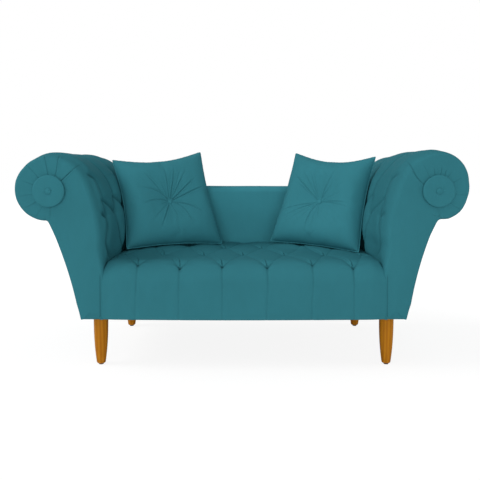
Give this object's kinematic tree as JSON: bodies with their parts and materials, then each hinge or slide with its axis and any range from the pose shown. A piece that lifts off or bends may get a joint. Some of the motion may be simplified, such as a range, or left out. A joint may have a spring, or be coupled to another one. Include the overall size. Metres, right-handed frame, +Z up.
{
  "type": "recamier",
  "caption": "Two-seat recamier with rolled arms, a low back, a diamond-tufted seat, loose square pillows and turned wooden legs.",
  "frame": {"origin": "on the floor under the middle of the part's outer box", "axes": "+X to the right seen from the front, +Y from the front to the back, +Z up"},
  "size_m": [1.6126, 0.7116, 0.775],
  "materials": {
    "teal_suede": "soft matt suede",
    "stained_wood": "honey stain under satin lacquer",
    "pine": "raw sawn timber",
    "hardboard": "raw board",
    "steel": "zinc plated",
    "nylon": "moulded",
    "webbing": "woven",
    "dust_lining": "non-woven"
  },
  "bodies": {
    "sofa": {"seat_pad": "teal_suede", "seat_webbing": "webbing", "dust_lining": "dust_lining", "back_pad": "teal_suede", "back_skin": "teal_suede", "back_left_post": "pine", "back_right_post": "pine", "back_top_rail": "pine", "front_rail": "pine", "rear_rail": "pine", "centre_crossbar": "pine", "left_side_rail": "pine", "left_arm_pad": "teal_suede", "left_arm_board": "hardboard", "left_front_rib": "hardboard", "left_rear_rib": "hardboard", "left_outer_panel": "teal_suede", "left_front_facing": "teal_suede", "left_rear_facing": "teal_suede", "left_scroll_batten": "pine", "left_waist_batten": "pine", "left_medallion": "teal_suede", "left_medallion_button": "teal_suede", "front_left_leg": "stained_wood", "front_left_corner_block": "pine", "front_left_hanger_bolt": "steel", "front_left_glide": "nylon", "rear_left_leg": "stained_wood", "rear_left_corner_block": "pine", "rear_left_hanger_bolt": "steel", "rear_left_glide": "nylon", "right_side_rail": "pine", "right_arm_pad": "teal_suede", "right_arm_board": "hardboard", "right_front_rib": "hardboard", "right_rear_rib": "hardboard", "right_outer_panel": "teal_suede", "right_front_facing": "teal_suede", "right_rear_facing": "teal_suede", "right_scroll_batten": "pine", "right_waist_batten": "pine", "right_medallion": "teal_suede", "right_medallion_button": "teal_suede", "front_right_leg": "stained_wood", "front_right_corner_block": "pine", "front_right_hanger_bolt": "steel", "front_right_glide": "nylon", "rear_right_leg": "stained_wood", "rear_right_corner_block": "pine", "rear_right_hanger_bolt": "steel", "rear_right_glide": "nylon"},
    "left_pillow": {"left_pillow": "teal_suede", "left_pillow_front_button": "teal_suede", "left_pillow_rear_button": "teal_suede"},
    "right_pillow": {"right_pillow": "teal_suede", "right_pillow_front_button": "teal_suede", "right_pillow_rear_button": "teal_suede"}
  },
  "joints": [
    {"name": "left_pillow_lift", "type": "slide", "parent": "sofa", "child": "left_pillow", "axis": [0, 0, 1], "range_m": [0, 0.5]},
    {"name": "right_pillow_lift", "type": "slide", "parent": "sofa", "child": "right_pillow", "axis": [0, 0, 1], "range_m": [0, 0.5]}
  ]
}
